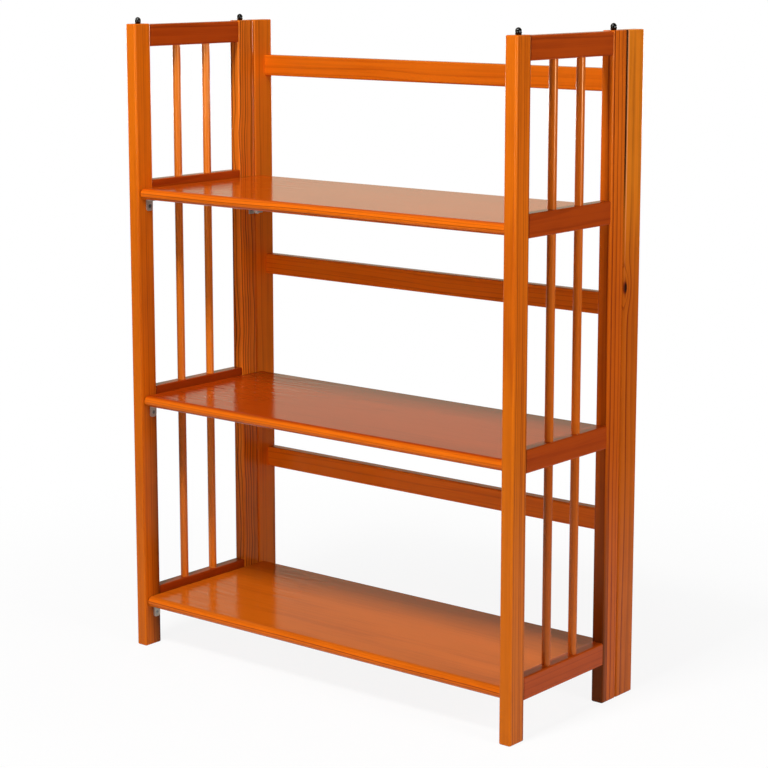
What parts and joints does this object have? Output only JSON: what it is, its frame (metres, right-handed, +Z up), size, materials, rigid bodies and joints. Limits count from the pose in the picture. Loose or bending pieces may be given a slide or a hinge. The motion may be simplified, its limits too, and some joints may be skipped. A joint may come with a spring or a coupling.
{
  "type": "folding bookcase",
  "caption": "Stackable folding wooden bookcase with flip-up shelves, hinged spindle side frames, back slats and stacking pins.",
  "frame": {"origin": "on the floor, in the middle of the width and of the depth", "axes": "+Z up, -Y out of the open front, +X to the right as seen from the front"},
  "size_m": [0.698, 0.295, 0.9435],
  "materials": {
    "post_wood": "honey-oak stained pine, semi-gloss lacquer, grain along the post",
    "rail_wood": "honey-oak stained pine, semi-gloss lacquer, grain from front to back",
    "spindle_wood": "honey-oak stained turned dowel, semi-gloss lacquer",
    "slat_wood": "honey-oak stained pine, semi-gloss lacquer, grain along the slat",
    "shelf_wood": "honey-oak stained pine boards, glossier lacquer, grain along the shelf",
    "stacking_pin_black": "glossy black",
    "hinge_nickel": "nickel-plated steel, satin",
    "support_nickel": "nickel-plated steel, satin",
    "screw_nickel": "nickel-plated steel",
    "pivot_steel": "plain drawn steel"
  },
  "bodies": {
    "back_frame": {"back_post_left": "post_wood", "back_post_right": "post_wood", "back_slat_bottom": "slat_wood", "back_slat_middle": "slat_wood", "back_slat_top": "slat_wood", "shelf_pivot_pins_bottom": "pivot_steel", "shelf_pivot_pins_middle": "pivot_steel", "shelf_pivot_pins_top": "pivot_steel", "hinge_back_leaves_left": "hinge_nickel", "hinge_pins_left": "hinge_nickel", "hinge_back_screws_left": "screw_nickel", "hinge_back_leaves_right": "hinge_nickel", "hinge_pins_right": "hinge_nickel", "hinge_back_screws_right": "screw_nickel"},
    "side_frame_left": {"left_front_post": "post_wood", "left_rear_post": "post_wood", "left_top_rail": "rail_wood", "left_upper_rail": "rail_wood", "left_middle_rail": "rail_wood", "left_lower_rail": "rail_wood", "left_upper_front_spindle": "spindle_wood", "left_upper_rear_spindle": "spindle_wood", "left_middle_front_spindle": "spindle_wood", "left_middle_rear_spindle": "spindle_wood", "left_lower_front_spindle": "spindle_wood", "left_lower_rear_spindle": "spindle_wood", "stacking_pins_left": "stacking_pin_black", "shelf_support_left_bottom": "support_nickel", "shelf_support_left_middle": "support_nickel", "shelf_support_left_top": "support_nickel", "support_screws_left": "screw_nickel", "hinge_side_leaves_left": "hinge_nickel", "hinge_side_screws_left": "screw_nickel"},
    "side_frame_right": {"right_front_post": "post_wood", "right_rear_post": "post_wood", "right_top_rail": "rail_wood", "right_upper_rail": "rail_wood", "right_middle_rail": "rail_wood", "right_lower_rail": "rail_wood", "right_upper_front_spindle": "spindle_wood", "right_upper_rear_spindle": "spindle_wood", "right_middle_front_spindle": "spindle_wood", "right_middle_rear_spindle": "spindle_wood", "right_lower_front_spindle": "spindle_wood", "right_lower_rear_spindle": "spindle_wood", "stacking_pins_right": "stacking_pin_black", "shelf_support_right_bottom": "support_nickel", "shelf_support_right_middle": "support_nickel", "shelf_support_right_top": "support_nickel", "support_screws_right": "screw_nickel", "hinge_side_leaves_right": "hinge_nickel", "hinge_side_screws_right": "screw_nickel"},
    "shelf_bottom": {"shelf_bottom": "shelf_wood"},
    "shelf_middle": {"shelf_middle": "shelf_wood"},
    "shelf_top": {"shelf_top": "shelf_wood"}
  },
  "joints": [
    {"name": "shelf_top_fold", "type": "hinge", "parent": "back_frame", "child": "shelf_top", "pos_m": [0, 0.1125, 0.687], "axis": [-1, 0, 0], "range_deg": [0, 90]},
    {"name": "shelf_middle_fold", "type": "hinge", "parent": "back_frame", "child": "shelf_middle", "pos_m": [0, 0.1125, 0.3775], "axis": [-1, 0, 0], "range_deg": [0, 90]},
    {"name": "shelf_bottom_fold", "type": "hinge", "parent": "back_frame", "child": "shelf_bottom", "pos_m": [0, 0.1125, 0.068], "axis": [-1, 0, 0], "range_deg": [0, 90]},
    {"name": "left_side_frame_hinge", "type": "hinge", "parent": "back_frame", "child": "side_frame_left", "pos_m": [-0.327, 0.106, 0.467], "axis": [0, 0, 1], "range_deg": [0, 0.3]},
    {"name": "right_side_frame_hinge", "type": "hinge", "parent": "back_frame", "child": "side_frame_right", "pos_m": [0.327, 0.106, 0.467], "axis": [0, 0, -1], "range_deg": [0, 0.3]}
  ]
}
